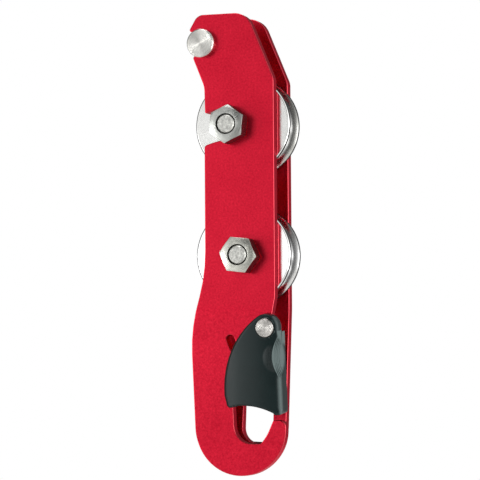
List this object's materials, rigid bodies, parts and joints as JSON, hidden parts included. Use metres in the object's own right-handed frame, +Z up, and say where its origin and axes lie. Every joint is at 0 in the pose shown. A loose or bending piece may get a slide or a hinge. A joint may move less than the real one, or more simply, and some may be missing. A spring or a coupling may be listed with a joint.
{
  "type": "double-bobbin rope pulley (friction descender)",
  "caption": "Rope pulley of the fixed-bobbin kind: red side plates around metal bobbins, a swinging front plate that opens for the rope, and a spring gate at its lower eye.",
  "frame": {"origin": "centre of the attachment eye at the lower end, midway between the side plates", "axes": "+Z up along the side plates towards the guide pin, -Y towards the moving front plate, +X to the gate's side"},
  "size_m": [0.0397, 0.0353, 0.1779],
  "materials": {
    "red_anodised": "red anodised aluminium, fine satin sheen",
    "stainless_polished": "turned stainless steel, polished by the rope",
    "aluminium_turned": "bright turned aluminium",
    "zinc_steel": "zinc-plated steel, satin",
    "plain_steel": "plain ground steel",
    "stainless_satin": "turned stainless steel, satin",
    "bronze": "sintered bronze",
    "black_plastic": "moulded glass-filled plastic, matt",
    "spring_wire": "drawn stainless spring wire"
  },
  "bodies": {
    "frame": {"fixed_side_plate": "red_anodised", "upper_bobbin": "stainless_polished", "lower_bobbin": "aluminium_turned", "upper_axle_bolt": "zinc_steel", "lower_axle_bolt": "zinc_steel", "upper_axle_nut": "zinc_steel", "lower_axle_nut": "zinc_steel", "hooking_collar": "plain_steel", "pivot_bush": "bronze", "upper_face_washer": "plain_steel", "lower_friction_washer": "bronze", "upper_rear_washer": "zinc_steel", "lower_rear_washer": "zinc_steel", "upper_locating_pin": "plain_steel", "lower_locating_pin": "plain_steel", "guide_pin": "stainless_satin", "guide_pin_sleeve": "stainless_satin", "guide_pin_washer": "zinc_steel"},
    "front_plate": {"moving_side_plate": "red_anodised", "gate_rivet": "stainless_satin", "gate_rivet_washer": "zinc_steel"},
    "gate": {"gate": "black_plastic", "gate_bush": "bronze", "gate_stop_pin": "plain_steel", "gate_spring": "spring_wire"}
  },
  "joints": [
    {"name": "plate_swing", "type": "hinge", "parent": "frame", "child": "front_plate", "pos_m": [-0.0014, 0, 0.0658], "axis": [0, 1, 0], "range_deg": [0, 100]},
    {"name": "gate_swing", "type": "hinge", "parent": "front_plate", "child": "gate", "pos_m": [0.0085, -0.00992, 0.0384], "axis": [0, 0.9936, 0.1132], "range_deg": [0, 27], "stiffness_Nm_per_rad": 0.03, "springref_deg": -20.05, "deforming": ["gate_spring"]}
  ]
}
